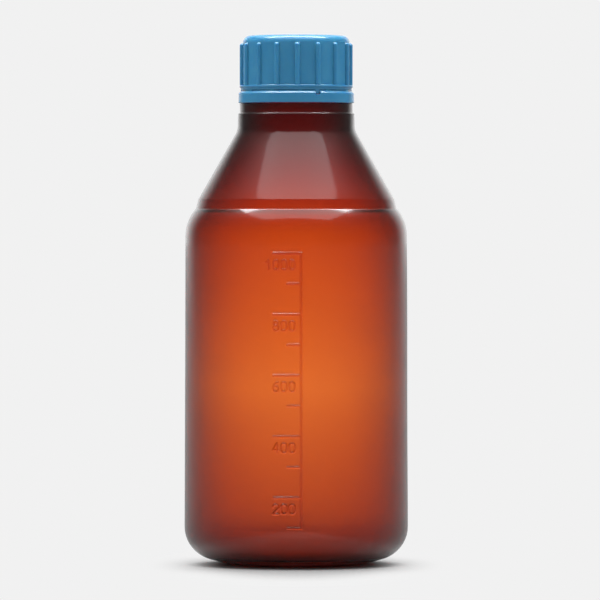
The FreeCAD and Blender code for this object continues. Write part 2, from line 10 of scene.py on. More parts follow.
import bpy
import mathutils
import numpy as np
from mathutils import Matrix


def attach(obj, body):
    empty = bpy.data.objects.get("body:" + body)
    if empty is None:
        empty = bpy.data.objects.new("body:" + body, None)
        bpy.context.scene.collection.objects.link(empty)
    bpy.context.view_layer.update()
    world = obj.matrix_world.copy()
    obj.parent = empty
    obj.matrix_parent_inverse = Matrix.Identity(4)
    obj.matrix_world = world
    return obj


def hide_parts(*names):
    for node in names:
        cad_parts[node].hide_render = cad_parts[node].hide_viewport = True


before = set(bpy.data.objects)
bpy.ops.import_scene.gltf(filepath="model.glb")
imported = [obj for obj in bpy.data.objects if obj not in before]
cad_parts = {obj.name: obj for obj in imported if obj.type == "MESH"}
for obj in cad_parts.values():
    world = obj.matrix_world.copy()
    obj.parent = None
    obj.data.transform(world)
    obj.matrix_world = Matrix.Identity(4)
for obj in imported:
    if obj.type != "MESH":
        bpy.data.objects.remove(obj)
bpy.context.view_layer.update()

MM = 0.001
TAU = 2 * math.pi

# Sizes are in millimetres and angles in radians from +X. A pair is (radius, height), unless its
# comment says otherwise.

# Thickness of the bottle's wall: at the shoulder, at half height (thickness, height), in the base,
# which ends at BASE_WALL_TOP, at the foot of the cone and in the collar.
WALL = 1.5
THIN_WALL = (1.3, 80)
BASE_WALL = 2.4
BASE_WALL_TOP = 21
CONE_FOOT_WALL = 1.95
COLLAR_WALL = 3.6

# Outside of the body, from the base up. BASE_RING holds the two radii of the ring that it stands
# on, and PUNT is the depth of the hollow inside it. BASE_CORNER, BASE_SWEEP and SHOULDER are radii
# of arcs.
BODY_RADIUS = 50.2
BASE_RING = (18.0, 23.0)
BASE_RING_ROUNDING = 2.5
PUNT = 2.5
BASE_CORNER = 15.0
BASE_SWEEP = 52.0
BODY_TOP = (49.65, 147.5)
SHOULDER = 18.6
LEDGE = (44.9, 159.9)
MOULD_STEP = 0.3
CONE_FOOT = (43.9, 164.3)
CONE_SLOPE = 0.568

# Neck, from the collar up. Its hollow narrows to the bore over NECK_OPENING_RISE.
COLLAR = (26.2, 203.0)
FLANGE = (25.4, 207.4)
THROAT_RADIUS = 23.2
BEAD = (24.2, 209.3)
BEAD_LAND = 1.4
BEAD_RAMP = 2.7
NECK_RADIUS = 21.0
NECK_OPENING = (21.8, 210.0)
NECK_OPENING_RISE = 4.0
NECK_BORE = 19.3
RIM = 233.3

# Slight unevenness of the wall, the parting line up the two sides between two heights, and the
# pinched weld that crosses the hollow of the base and fades out towards its edge.
UNEVENNESS = 0.055
SEAM = 0.10
SEAM_HALF = 0.35
SEAM_SPAN = (9, COLLAR[1] - 0.5)
PINCH = 0.5
PINCH_HALF = 0.8
PINCH_FADE = 2

# Direction of the cap's tongue. The threads start there, and the ribs are counted from it.
INDEX_ANGLE = math.radians(-67.6)

# Right-hand threads: height of the start, climb, depth, and width at the foot and at the land.
PITCH = 4.0
NECK_THREAD = {"start": 217.6, "rise": 11.5, "depth": 1.3, "foot": 2.3, "land": 1.0}
CAP_THREAD = {"start": 217.6 - 1.55, "rise": 10.5, "depth": 1.35, "foot": 2.0, "land": 0.9}

# Raised scale: the lines end in an upright spine on their right. FIGURE_RIGHT is where the figures
# end, and FIGURE_DROP is the gap between a line and the figures under it.
SCALE_TOP = 140.4
SCALE_STEP = 13.55
SCALE_COUNT = 10
SCALE_RELIEF = 0.35
SCALE_EDGE = 0.30
SPINE = 2.2
LONG_LINE, SHORT_LINE = 12.1, 5.9
FIGURE_HEIGHT, FIGURE_WIDTH, FIGURE_PITCH = 4.9, 3.06, 3.6
FIGURE_PEN, LINE_PEN, SPINE_PEN = 0.7, 0.9, 1.1
FIGURE_RIGHT, FIGURE_DROP = -0.3, 2.2

# Part of the wall that carries the scale: two heights, and how far it reaches to either side.
SCALE_MARGIN = 1.4
SCALE_LOW = SCALE_TOP - (SCALE_COUNT - 1) * SCALE_STEP - SCALE_MARGIN
SCALE_HIGH = SCALE_TOP + SCALE_MARGIN
SCALE_SIDES = (-14.0, 3.6)

# Cap. CAP_WALL and TONGUE_INNER hold two radii: of the wall, and of the tongue's inner face. The
# ends of the lip's face and taper are heights. The tongue's sides fall within TONGUE_SIDE.
CAP_TOP = 237.9
CAP_ROOF = 1.7
CAP_WALL = (22.75, 24.0)
CAP_EDGE = 3.3
LIP = (25.5, 215.5)
LIP_FACE_END = 214.8
LIP_TAPER_END = 214.2
LIP_FOOT = (24.95, 213.4)
SKIRT = (24.3, 212.2)
TONGUE_INNER = (24.38, 24.45)
TONGUE_DROP = 2.0
TONGUE_HALF = 1.05
TONGUE_SIDE = 0.06

# Grip ribs: half-round, with domed tops, on axes that stand RIB_CENTRE from the cap's own.
RIB_COUNT = 16
RIB_CENTRE = 24.2
RIB_RADIUS = 1.2
RIB_TOP = 234.5
RIB_TURN = math.radians(1.4)

# Tamper ring: two radii and two heights, its top chamfer, the hook inside its foot, and the notch
# in its top edge.
RING = (24.5, 26.0)
RING_SPAN = (207.6, 212.9)
RING_CHAMFER = 1.0
HOOK_RADIUS = 23.6
HOOK_LAND = 0.8
HOOK_TOP = 1.3
NOTCH_HALF = 1.35
NOTCH_ROUNDING = 0.6
NOTCH_BOTTOM = 211.1

# Meshes: columns round each piece, heights between which the threads need close rows, and spacing
# of the rows across the threads, the rib tops, the scale's lines and its figures, and of the
# columns across the scale. Rows across a line or a figure begin a margin above and below it.
BOTTLE_COLUMNS, CAP_COLUMNS, RING_COLUMNS = 160, 96, 180
NECK_THREADED = (216.2, 231.2)
CAP_THREADED = (214, 229)
THREAD_ROWS = 0.3
DOME_ROWS = 0.1
LINE_ROWS, LINE_MARGIN = 0.15, 0.75
FIGURE_ROWS, FIGURE_MARGIN = 0.2, 0.6
SCALE_COLUMNS = 0.19


# ---------------------------------------------------------------- outlines
def fillet(before, corner, after, radius, step):
    """Points of the arc that rounds a corner, from one tangent point to the other.

    step is the largest angle between two points, in degrees.
    """
    before, corner, after = (np.array(point, float) for point in (before, corner, after))
    arrive = (corner - before) / np.linalg.norm(corner - before)
    leave = (after - corner) / np.linalg.norm(after - corner)
    turn = math.acos(np.clip(arrive @ leave, -1, 1))
    if radius <= 0 or turn < 1e-3:
        return [tuple(corner)]
    start = corner - arrive * radius * math.tan(turn / 2)
    side = np.sign(arrive[0] * leave[1] - arrive[1] * leave[0])
    inward = side * np.array([-arrive[1], arrive[0]])
    count = max(2, math.ceil(turn / math.radians(step)))
    points = []
    for angle in np.linspace(0, turn, count + 1):
        offset = inward * (1 - math.cos(angle)) + arrive * math.sin(angle)
        points.append(tuple(start + offset * radius))
    return points


def outline(corners, longest, step):
    """Points along corners of (radius, height, rounding), at most longest apart where straight."""
    rounded = []
    for index, (r, z, rounding) in enumerate(corners):
        if 0 < index < len(corners) - 1:
            before, after = corners[index - 1][:2], corners[index + 1][:2]
            rounded += fillet(before, (r, z), after, rounding, step)
        else:
            rounded.append((r, z))
    points = [rounded[0]]
    for point in rounded[1:]:
        last = np.array(points[-1])
        gap = np.array(point) - last
        length = np.linalg.norm(gap)
        if length > 1e-6:
            parts = math.ceil(length / longest)
            points += [tuple(last + gap * part / parts) for part in range(1, parts + 1)]
    return points


def with_levels(points, levels):
    """Outline going down, with a point more wherever it passes one of the levels."""
    closest = 0.02
    refined = [points[0]]
    for start, end in zip(points[:-1], points[1:]):
        fall = start[1] - end[1]
        for level in sorted(levels, reverse=True):
            if end[1] + closest < level < start[1] - closest:
                share = (start[1] - level) / fall
                refined.append((start[0] + (end[0] - start[0]) * share, level))
        refined.append(end)
    return refined


# ---------------------------------------------------------------- lathe meshes
def smooth(x):
    """0 below 0, 1 above 1, and a smooth rise between."""
    x = np.clip(x, 0, 1)
    return x * x * (3 - 2 * x)


def side_angle(theta, centre):
    """Angle from centre, between -pi and pi."""
    return (theta - centre + math.pi) % TAU - math.pi


def columns_with(count, extra):
    """Evenly spaced angles round the axis, with extra ones added, sorted."""
    angles = np.concatenate([np.arange(count) * TAU / count, np.array(list(extra), float) % TAU])
    angles = np.sort(angles)
    keep = np.append(True, np.diff(angles) > 1e-5)
    return angles[keep]


def near(targets, angles, reach):
    """Mask of the angles that lie within reach of one of the targets."""
    gaps = np.abs(side_angle(angles[:, None], np.array(targets)[None, :]))
    return gaps.min(axis=1) <= reach


def lathe_faces(index, on_axis, row_list, column_list, window):
    """Faces between the coarse rows and columns, with small ones inside the window.

    A coarse face beside the window takes in the fine vertices on the edge that they share.
    """
    first_row, last_row, first_column, last_column = window
    count = index.shape[1]
    faces = []

    def in_window(row, column):
        return first_row <= row < last_row and first_column <= column < last_column

    def add(corners):
        loop = []
        for row, column in corners:
            vertex = int(index[row, column % count])
            if not loop or vertex != loop[-1]:
                loop.append(vertex)
        if len(loop) > 1 and loop[0] == loop[-1]:
            loop.pop()
        if len(loop) > 2:
            faces.append(loop)

    def add_small(row, column):
        add([(row, column), (row + 1, column), (row + 1, column + 1), (row, column + 1)])

    def add_coarse(up, down, left, right):
        left_rows = range(up, down) if in_window(up, left - 1) else [up]
        low_columns = range(left, right) if in_window(down, left) else [left]
        right_rows = range(down, up, -1) if in_window(up, right) else [down]
        high_columns = range(right, left, -1) if in_window(up - 1, left) else [right]
        loop = [(row, left) for row in left_rows]
        loop += [(down, column) for column in low_columns]
        loop += [(row, right) for row in right_rows]
        loop += [(up, column) for column in high_columns]
        add(loop)

    # An outline from axis to axis is closed as it is. Any other joins its last row to its first.
    for up, down in zip(row_list, np.append(row_list[1:], row_list[0])):
        if on_axis[up] and on_axis[down]:
            continue
        for left, right in zip(column_list[:-1], column_list[1:]):
            if in_window(up, left):
                for row in range(up, down):
                    for column in range(left, right):
                        add_small(row, column)
            else:
                add_coarse(up, down, left, right)
    return faces


def lathe(name, points, angles, bend, detail=None):
    """Closed mesh from an outline turned about Z.

    bend(r, z, theta) returns the moved radii and heights. detail is (fine rows, fine columns,
    window): masks of the rows and columns that are used only inside the window, which is (first
    row, last row, first column, last column).
    """
    points = np.array(points)
    rows, count = len(points), len(angles)
    no_detail = (np.zeros(rows, bool), np.zeros(count, bool), (0, 0, 0, 0))
    fine_rows, fine_columns, window = detail or no_detail
    theta = np.broadcast_to(angles[None, :], (rows, count))
    r = np.repeat(points[:, :1], count, axis=1)
    z = np.repeat(points[:, 1:], count, axis=1)
    r, z = bend(r, z, theta)
    on_axis = points[:, 0] < 1e-6
    r[on_axis] = 0
    z[on_axis] = points[on_axis, 1:]
    used = ~fine_rows[:, None] & ~fine_columns[None, :]
    first_row, last_row, first_column, last_column = window
    used[first_row:last_row + 1, first_column:last_column + 1] = True
    used[on_axis] = False
    used[on_axis, 0] = True
    index = np.cumsum(used).reshape(used.shape) - 1
    index[on_axis] = index[on_axis, :1]
    x = (r * np.cos(theta))[used]
    y = (r * np.sin(theta))[used]
    vertices = np.stack([x, y, z[used]], axis=1) * MM
    row_list = np.flatnonzero(~fine_rows)
    column_list = np.append(np.flatnonzero(~fine_columns), count)
    faces = lathe_faces(index, on_axis, row_list, column_list, window)
    mesh = bpy.data.meshes.new(name)
    mesh.from_pydata(vertices.tolist(), [], faces)
    mesh.validate()
    mesh.polygons.foreach_set("use_smooth", [True] * len(mesh.polygons))
    mesh.update()
    piece = bpy.data.objects.new(name, mesh)
    bpy.context.scene.collection.objects.link(piece)
    return piece


def thread_height(theta, z, start, rise, depth, foot, land):
    """Height of a right-hand thread above its wall, with its two ends faded out."""
    turn = (theta - INDEX_ANGLE) % TAU
    height = np.zeros(np.broadcast(theta, z).shape)
    fade = PITCH / 8
    for lap in range(math.ceil(rise / PITCH) + 1):
        climbed = PITCH * (turn / TAU + lap)
        gap = np.abs(z - start - climbed)
        section = np.clip((foot / 2 - gap) / (foot / 2 - land / 2), 0, 1)
        ends = smooth(climbed / fade) * smooth((rise - climbed) / fade)
        height = np.maximum(height, depth * smooth(section) * ends)
    return height


# ---------------------------------------------------------------- the raised scale
def figure_strokes(figure, width, height):
    """Pen strokes of a figure: lines as two points, arcs as centre, radius and two angles."""
    bowl = width / 2
    low = (bowl, bowl)
    high = (bowl, height - bowl)
    cap = (height - width) / 2
    back = 1.32 * width
    back_end = 105
    tail_angle = -35
    along, up = math.cos(math.radians(tail_angle)), math.sin(math.radians(tail_angle))
    tail = (bowl + bowl * along, height - bowl + bowl * up)
    stem = 0.72 * width
    bar = 0.3 * height
    post = 0.62 * width
    flag = (0.25 * width, 0.78 * height)
    strokes = {
        "0": [(low, bowl, 180, 360), (high, bowl, 0, 180),
              ((0, bowl), (0, height - bowl)), ((width, bowl), (width, height - bowl))],
        "1": [(flag, (post, height)), ((post, height), (post, 0))],
        "2": [(high, bowl, tail_angle, 180), (tail, (0, 0)), ((0, 0), (width, 0))],
        "4": [((stem, 0), (stem, height)), ((stem, height), (0, bar)), ((0, bar), (width, bar))],
        "6": [(low, bowl, 0, 360), ((back, bowl), back, back_end, 180)],
        "8": [(low, bowl, 0, 360), ((bowl, height - cap), cap, 0, 360)],
    }
    return strokes[figure]


def scale_strokes():
    """Every stroke of the scale with half its width: (stroke, half width), in X and Z."""
    strokes = []
    lowest = SCALE_TOP - (SCALE_COUNT - 1) * SCALE_STEP
    strokes.append((((SPINE, lowest), (SPINE, SCALE_TOP)), SPINE_PEN / 2))
    width = FIGURE_WIDTH - FIGURE_PEN
    height = FIGURE_HEIGHT - FIGURE_PEN
    for step in range(SCALE_COUNT):
        level = SCALE_TOP - step * SCALE_STEP
        length = SHORT_LINE if step % 2 else LONG_LINE
        left = SPINE - SPINE_PEN / 2 - length + LINE_PEN / 2
        strokes.append((((left, level), (SPINE, level)), LINE_PEN / 2))
        if step % 2:
            continue
        top = level - LINE_PEN / 2 - FIGURE_DROP
        for place, figure in enumerate(reversed(str(100 * (SCALE_COUNT - step)))):
            corner_x = FIGURE_RIGHT - place * FIGURE_PITCH - FIGURE_PEN / 2 - width
            corner_z = top - FIGURE_PEN / 2 - height
            for stroke in figure_strokes(figure, width, height):
                if len(stroke) == 2:
                    moved = tuple((x + corner_x, z + corner_z) for x, z in stroke)
                else:
                    centre = (stroke[0][0] + corner_x, stroke[0][1] + corner_z)
                    moved = (centre, *stroke[1:])
                strokes.append((moved, FIGURE_PEN / 2))
    return strokes


def stroke_distance(stroke, x, z):
    """Distance of every point (x, z) from a stroke's centre line."""
    if len(stroke) == 2:
        (x0, z0), (x1, z1) = stroke
        along = ((x - x0) * (x1 - x0) + (z - z0) * (z1 - z0)) / ((x1 - x0) ** 2 + (z1 - z0) ** 2)
        along = np.clip(along, 0, 1)
        return np.hypot(x - x0 - along * (x1 - x0), z - z0 - along * (z1 - z0))
    (cx, cz), radius, first, last = stroke
    first, last = math.radians(first), math.radians(last)
    angle = np.arctan2(z - cz, x - cx)
    beside = (angle - first) % TAU <= last - first + 1e-9
    to_arc = np.abs(np.hypot(x - cx, z - cz) - radius)
    to_first, to_last = (
        np.hypot(x - cx - radius * math.cos(tip), z - cz - radius * math.sin(tip))
        for tip in (first, last))
    return np.where(beside, to_arc, np.minimum(to_first, to_last))


def scale_height(x, z):
    """Height of the raised scale above the wall, with soft moulded edges."""
    height = np.zeros(x.shape)
    for stroke, half in scale_strokes():
        inwards = half + SCALE_EDGE / 2 - stroke_distance(stroke, x, z)
        height = np.maximum(height, SCALE_RELIEF * smooth(inwards / SCALE_EDGE))
    return height


# ---------------------------------------------------------------- bottle
def moved_inwards(corners, distance):
    """Corners of an open outline moved into the material, which lies right of the travel."""
    smallest = 0.3
    points = np.array([corner[:2] for corner in corners], float)
    along = np.diff(points, axis=0)
    along /= np.linalg.norm(along, axis=1)[:, None]
    inward = np.stack([along[:, 1], -along[:, 0]], axis=1)
    moved = []
    for index, (_, _, rounding) in enumerate(corners):
        before, after = max(index - 1, 0), min(index, len(along) - 1)
        sum_of_sides = inward[before] + inward[after]
        shift = sum_of_sides * distance / (1 + inward[before] @ inward[after])
        turn = along[before][0] * along[after][1] - along[before][1] * along[after][0]
        size = rounding - distance if turn < 0 else rounding + distance
        moved.append((*(points[index] + shift), max(size, smallest) if rounding else 0))
    return moved


def base_corners():
    """Corners of the base: two arcs lead from the wall to the ring that the bottle stands on."""
    side = BODY_RADIUS - BASE_CORNER
    meet = math.acos((side - BASE_RING[1]) / (BASE_SWEEP - BASE_CORNER))
    sweep_end = BASE_SWEEP - (BASE_SWEEP - BASE_CORNER) * math.sin(meet)
    sweep_reach = BASE_SWEEP * math.tan((math.pi / 2 - meet) / 2)
    punt_round = (BASE_RING[0] ** 2 + PUNT ** 2) / (2 * PUNT)
    return [
        (BODY_RADIUS, sweep_end - BASE_CORNER * math.tan(meet / 2), BASE_CORNER),
        (BASE_RING[1] + sweep_reach, 0, BASE_SWEEP),
        (BASE_RING[0], 0, BASE_RING_ROUNDING),
        (BASE_RING[0] / 2, PUNT, punt_round * 0.8),
        (0, PUNT, 0),
    ]


def bottle_corners():
    """Corners of the whole outline: up the inside from the base, over the rim, down the outside."""
    cone_top = CONE_FOOT[1] + (CONE_FOOT[0] - COLLAR[0]) / CONE_SLOPE
    lean = math.atan2(BODY_TOP[0] - LEDGE[0], LEDGE[1] - BODY_TOP[1])
    bead_top = BEAD[1] + BEAD_LAND
    body = [
        (COLLAR[0], cone_top, 8),
        (*CONE_FOOT, 1.5),
        (LEDGE[0], LEDGE[1] + 0.1, 0.05),
        (LEDGE[0] + MOULD_STEP, LEDGE[1], MOULD_STEP),
        (BODY_TOP[0], BODY_TOP[1] + SHOULDER * math.tan(lean), SHOULDER),
    ] + base_corners()
    neck = [
        (NECK_BORE, RIM, 0.45),
        (NECK_RADIUS, RIM, 0.5),
        (NECK_RADIUS, bead_top + BEAD_RAMP, 0.6),
        (BEAD[0], bead_top, 0.35),
        (*BEAD, 0.25),
        (THROAT_RADIUS, BEAD[1], 0.25),
        (THROAT_RADIUS, FLANGE[1], 0.3),
        (*FLANGE, 0.4),
        (FLANGE[0], COLLAR[1], 0.25),
        (*COLLAR, 0.5),
    ]
    hollow = [
        (NECK_BORE, NECK_OPENING[1] + NECK_OPENING_RISE, 1.5),
        (*NECK_OPENING, 1.5),
        (COLLAR[0] - COLLAR_WALL, cone_top, 6),
        (CONE_FOOT[0] - CONE_FOOT_WALL, CONE_FOOT[1], 4),
    ]
    # The inside of the wall doesn't follow the step that the mould leaves at the ledge.
    plain = body[:2] + [(*LEDGE, 0), *body[4:]]
    ledge, shoulder = moved_inwards(plain, WALL)[2:4]
    base = moved_inwards(plain, BASE_WALL)[4:]
    middle = [
        (BODY_RADIUS - THIN_WALL[0], THIN_WALL[1], 0),
        (BODY_RADIUS - WALL, BASE_WALL_TOP, 0),
    ]
    inside = hollow + [(*ledge[:2], 3), shoulder] + middle + base
    return inside[::-1] + neck + body


def wobble(theta, z):
    """Slight unevenness of a blown wall, gone towards the neck and the base."""
    fade = smooth((z - 12) / 20) * smooth((196 - z) / 12)
    long_waves = np.sin(2 * theta + z / 31) * np.cos(z / 43 + 1)
    short_waves = 0.5 * np.sin(5 * theta - z / 17 + 2)
    return UNEVENNESS * (long_waves + short_waves) * fade


def bend_bottle(r, z, theta, outside):
    """Add the neck thread, the scale, the parting line, the weld and the wall's unevenness."""
    height = thread_height(theta, z, **NECK_THREAD) * outside
    height += wobble(theta, z)
    facing_front = np.sin(theta) < -0.9
    front = outside & facing_front & (z > SCALE_LOW) & (z < SCALE_HIGH)
    height[front] += scale_height((r * np.cos(theta))[front], z[front])
    from_seam = r * np.abs(np.sin(theta))
    walls = outside & (z > SEAM_SPAN[0]) & (z < SEAM_SPAN[1])
    height += SEAM * smooth(1 - from_seam / SEAM_HALF) * walls
    weld_end = BASE_RING[0] - PINCH_FADE
    under = outside & (z < PUNT + 0.1) & (r < weld_end)
    across = smooth(1 - from_seam / PINCH_HALF)
    sink = PINCH * across * smooth((weld_end - r) / PINCH_FADE) * under
    return r + height, z - sink


def scale_levels():
    """Heights of the fine rows: close together across every line and every number."""
    levels = []
    for step in range(SCALE_COUNT):
        line = SCALE_TOP - step * SCALE_STEP
        levels += list(np.arange(line - LINE_MARGIN, line + LINE_MARGIN + 0.01, LINE_ROWS))
        if step % 2 == 0:
            top = line - LINE_PEN / 2 - FIGURE_DROP
            low, high = top - FIGURE_HEIGHT - FIGURE_MARGIN, top + FIGURE_MARGIN
            levels += list(np.arange(low, high + 0.01, FIGURE_ROWS))
    return [level for level in levels if SCALE_LOW < level < SCALE_HIGH]


def make_bottle():
    """Lathe mesh of the bottle, fine round the scale and the neck thread."""
    points = outline(bottle_corners(), longest=5.0, step=8.0)
    rim = max(range(len(points)), key=lambda index: points[index][1])
    fine = scale_levels()
    threads = list(np.arange(*NECK_THREADED, THREAD_ROWS))
    points = points[:rim] + with_levels(points[rim:], [SCALE_LOW, SCALE_HIGH] + fine + threads)
    outside = np.arange(len(points)) >= rim
    heights = np.array([z for _, z in points])
    fine_rows = outside & np.isin(heights, fine)
    first_row, last_row = (
        int(np.flatnonzero(outside & (heights == level))[0]) for level in (SCALE_HIGH, SCALE_LOW))
    seam = [share * SEAM_HALF / BODY_RADIUS for share in (-1, -0.5, 0, 0.5, 1)]
    seams = [side + shift for side in (0, math.pi) for shift in seam]
    coarse_angles = columns_with(BOTTLE_COLUMNS, seams)
    left, right = (TAU * 3 / 4 + reach / BODY_RADIUS for reach in SCALE_SIDES)
    fine_angles = np.arange(left, right, SCALE_COLUMNS / BODY_RADIUS)
    angles = columns_with(0, [*coarse_angles, *fine_angles])
    coarse = near(coarse_angles, angles, 1e-7)
    first_column = int(np.flatnonzero(coarse & (angles <= left))[-1])
    last_column = int(np.flatnonzero(coarse & (angles >= right))[0])

    def bend(r, z, theta):
        return bend_bottle(r, z, theta, outside[:, None])

    window = (first_row, last_row, first_column, last_column)
    return lathe("reagent_bottle", points, angles, bend, (fine_rows, ~coarse, window))


# ---------------------------------------------------------------- cap and tamper ring
def either_side(reaches, radius):
    """Angles that lie to both sides of the tongue by the given lengths on a circle."""
    return [INDEX_ANGLE + side * reach / radius for reach in reaches for side in (1, -1)]


def bend_cap(r, z, theta):
    """Add the grip ribs, the inner thread and the tongue that turns the tamper ring.

    wall, bore and underside are masks of the outline's faces, each with a little room to spare.
    """
    spacing = TAU / RIB_COUNT
    off = (theta - INDEX_ANGLE - RIB_TURN + spacing / 2) % spacing - spacing / 2
    across = RIB_CENTRE * np.sin(off)
    dome = np.clip(z - (RIB_TOP - RIB_RADIUS), 0, None)
    body = np.clip(RIB_RADIUS ** 2 - across ** 2 - dome ** 2, 0, None)
    rib = RIB_CENTRE * np.cos(off) + np.sqrt(body)
    wall = (r > CAP_WALL[1] - 0.7) & (z > LIP[1] + 0.05) & (z < RIB_TOP + 0.1)
    r = np.where(wall & (body > 0), np.maximum(r, rib), r)
    bore = r < CAP_WALL[0] + 0.1
    r = r - thread_height(theta, z, **CAP_THREAD) * bore
    underside = (z < LIP_FOOT[1] + 0.25) & (r > TONGUE_INNER[0] + 0.02)
    reach = np.abs(side_angle(theta, INDEX_ANGLE)) * LIP_FOOT[0]
    fall = TONGUE_DROP * np.clip((TONGUE_HALF - reach) / TONGUE_SIDE, 0, 1)
    return r, z - fall * underside


def cap_rows():
    """Outline of the cap, with close rows across its thread and the tops of its ribs."""
    roof = CAP_TOP - CAP_ROOF
    corners = [
        (0, CAP_TOP, 0),
        (CAP_WALL[1], CAP_TOP, CAP_EDGE),
        (CAP_WALL[1], LIP[1], 0.3),
        (*LIP, 0.28),
        (LIP[0], LIP_FACE_END, 0.3),
        (LIP_FOOT[0], LIP_TAPER_END, 0.25),
        (*LIP_FOOT, 0.12),
        (TONGUE_INNER[1], LIP_FOOT[1] - 0.001, 0),
        (TONGUE_INNER[0], LIP_FOOT[1], 0),
        (SKIRT[0], LIP_FOOT[1], 0),
        (*SKIRT, 0.15),
        (CAP_WALL[0], SKIRT[1], 0.3),
        (CAP_WALL[0], roof, 0.3),
        (0, roof, 0),
    ]
    points = outline(corners, longest=2.2, step=15.0)
    rows = []
    for before, after in zip(points[:-1], points[1:]):
        rows.append(before)
        climb = after[1] - before[1]
        bore = max(abs(before[0] - CAP_WALL[0]), abs(after[0] - CAP_WALL[0])) < 0.01
        threaded = bore and CAP_THREADED[0] < before[1] < CAP_THREADED[1]
        if threaded and climb > THREAD_ROWS:
            parts = math.ceil(climb / THREAD_ROWS)
            rows += [(before[0], before[1] + climb * part / parts) for part in range(1, parts)]
    rows.append(points[-1])
    wall_top = next(index for index, (_, z) in enumerate(rows) if z < RIB_TOP + 0.2)
    domes = np.arange(RIB_TOP + 0.02, RIB_TOP - RIB_RADIUS - 0.2, -DOME_ROWS)
    above, below = wall_top - 1, wall_top + 2
    return rows[:above] + with_levels(rows[above:below], domes) + rows[below:]


def make_cap():
    """Lathe mesh of the cap, with columns that crowd where a rib's half-round meets the wall."""
    shares = [0, 0.26, 0.52, 0.71, 0.85, 0.94, 0.98, 0.997, 1.04, 1.4]
    offsets = [side * share * RIB_RADIUS / RIB_CENTRE for share in shares for side in (1, -1)]
    ribs = [INDEX_ANGLE + RIB_TURN + TAU * rib / RIB_COUNT for rib in range(RIB_COUNT)]
    extra = [angle + offset for angle in ribs for offset in offsets]
    extra += either_side([0.99, 1.05, 1.07], LIP_FOOT[0])
    return lathe("screw_cap", cap_rows(), columns_with(CAP_COLUMNS, extra), bend_cap)


def bend_ring(r, z, theta):
    """Lower the ring's top edge where the tongue sits, with round corners."""
    reach = np.abs(side_angle(theta, INDEX_ANGLE)) * RING[1]
    into_corner = np.clip(reach - (NOTCH_HALF - NOTCH_ROUNDING), 0, NOTCH_ROUNDING)
    limit = NOTCH_BOTTOM + NOTCH_ROUNDING - np.sqrt(NOTCH_ROUNDING ** 2 - into_corner ** 2)
    limit = np.where(reach > NOTCH_HALF + 0.005, np.inf, limit)
    return r, np.minimum(z, limit)


def make_ring():
    """Lathe mesh of the tamper ring."""
    low, high = RING_SPAN
    corners = [
        (RING[0], high, 0),
        (RING[1] - RING_CHAMFER, high, 0.2),
        (RING[1], high - RING_CHAMFER, 0.35),
        (RING[1], low, 0.3),
        (HOOK_RADIUS, low, 0.2),
        (HOOK_RADIUS, low + HOOK_LAND, 0.15),
        (RING[0], low + HOOK_TOP, 0.15),
        (RING[0], high, 0),
    ]
    points = outline(corners, longest=0.6, step=15.0)[:-1]
    notch = either_side([0.2, 0.5, 0.75, 0.95, 1.1, 1.2, 1.28, 1.33, 1.35, 1.36, 1.5], RING[1])
    return lathe("tamper_band", points, columns_with(RING_COLUMNS, notch), bend_ring)


# ---------------------------------------------------------------- materials
def material(name):
    """New node material with its node tree and its Principled shader."""
    made = bpy.data.materials.new(name)
    made.use_nodes = True
    return made, made.node_tree, made.node_tree.nodes["Principled BSDF"]


def noise(tree, scale, detail, stretch=(1, 1, 1)):
    """Noise over the object, in cycles per metre, stretched along the axes."""
    place = tree.nodes.new("ShaderNodeTexCoord")
    mapping = tree.nodes.new("ShaderNodeMapping")
    mapping.inputs["Scale"].default_value = stretch
    texture = tree.nodes.new("ShaderNodeTexNoise")
    texture.inputs["Scale"].default_value = scale
    texture.inputs["Detail"].default_value = detail
    tree.links.new(place.outputs["Object"], mapping.inputs["Vector"])
    tree.links.new(mapping.outputs["Vector"], texture.inputs["Vector"])
    return texture.outputs["Fac"]


def spread(tree, source, low, high):
    """Source from 0.3 to 0.7 spread over low to high."""
    ramp = tree.nodes.new("ShaderNodeMapRange")
    ramp.inputs["From Min"].default_value = 0.3
    ramp.inputs["From Max"].default_value = 0.7
    ramp.inputs["To Min"].default_value = low
    ramp.inputs["To Max"].default_value = high
    tree.links.new(source, ramp.inputs["Value"])
    return ramp.outputs["Result"]


def blend_colours(tree, source, low, high):
    """Colour between low and high as the source goes from 0.3 to 0.7."""
    mix = tree.nodes.new("ShaderNodeMix")
    mix.data_type = "RGBA"
    mix.inputs["A"].default_value = (*low, 1)
    mix.inputs["B"].default_value = (*high, 1)
    tree.links.new(spread(tree, source, 0, 1), mix.inputs["Factor"])
    return mix.outputs["Result"]


def add_bump(tree, shader, layers):
    """Chain bumps of (height source, distance in metres, strength) into the shader's normal."""
    previous = None
    for source, distance, strength in layers:
        bump = tree.nodes.new("ShaderNodeBump")
        bump.inputs["Distance"].default_value = distance
        bump.inputs["Strength"].default_value = strength
        tree.links.new(source, bump.inputs["Height"])
        if previous:
            tree.links.new(previous, bump.inputs["Normal"])
        previous = bump.outputs["Normal"]
    tree.links.new(previous, shader.inputs["Normal"])


